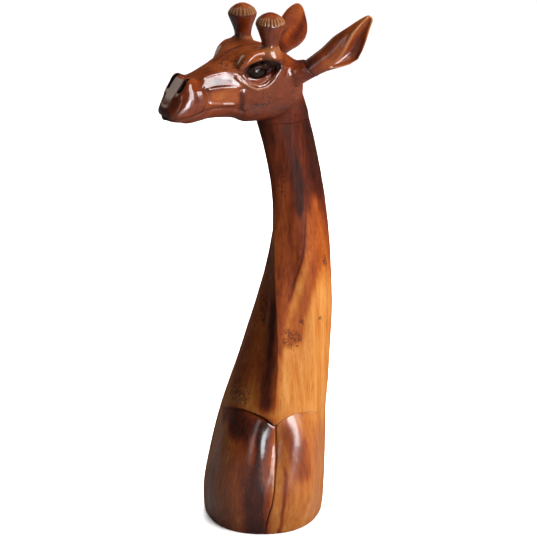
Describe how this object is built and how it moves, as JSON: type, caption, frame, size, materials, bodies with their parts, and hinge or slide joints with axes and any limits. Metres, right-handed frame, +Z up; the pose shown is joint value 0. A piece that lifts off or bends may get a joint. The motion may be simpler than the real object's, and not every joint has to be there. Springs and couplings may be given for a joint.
{
  "type": "carved giraffe statue",
  "caption": "Polished hardwood giraffe bust with a long twisting neck, turned head, separate ears, ossicones and inset eyes, standing on its flat-cut chest.",
  "frame": {"origin": "centre of the flat-cut underside that the bust stands on", "axes": "+Z up, -Y the way the chest faces, +X the giraffe's left across the chest; the head is turned to face between -X and -Y"},
  "size_m": [0.3793, 0.3382, 1.0165],
  "materials": {
    "neck_wood": "gloss lacquer over reddish-brown heartwood and pale sapwood",
    "head_wood": "gloss lacquer over reddish-brown heartwood",
    "ear_wood": "satin lacquer over reddish-brown wood",
    "ossicone_wood": "gloss lacquer over dark stained wood with pale carved flutes",
    "eye_black": "polished black stained wood",
    "dowel_wood": "plain unfinished hardwood"
  },
  "bodies": {
    "root": {"neck_and_chest": "neck_wood", "head": "head_wood", "left_ear": "ear_wood", "right_ear": "ear_wood", "left_ossicone": "ossicone_wood", "right_ossicone": "ossicone_wood", "left_eye": "eye_black", "right_eye": "eye_black", "neck_dowel_front": "dowel_wood", "neck_dowel_rear": "dowel_wood", "left_ear_dowel": "dowel_wood", "right_ear_dowel": "dowel_wood", "left_ossicone_dowel": "dowel_wood", "right_ossicone_dowel": "dowel_wood"}
  },
  "joints": []
}
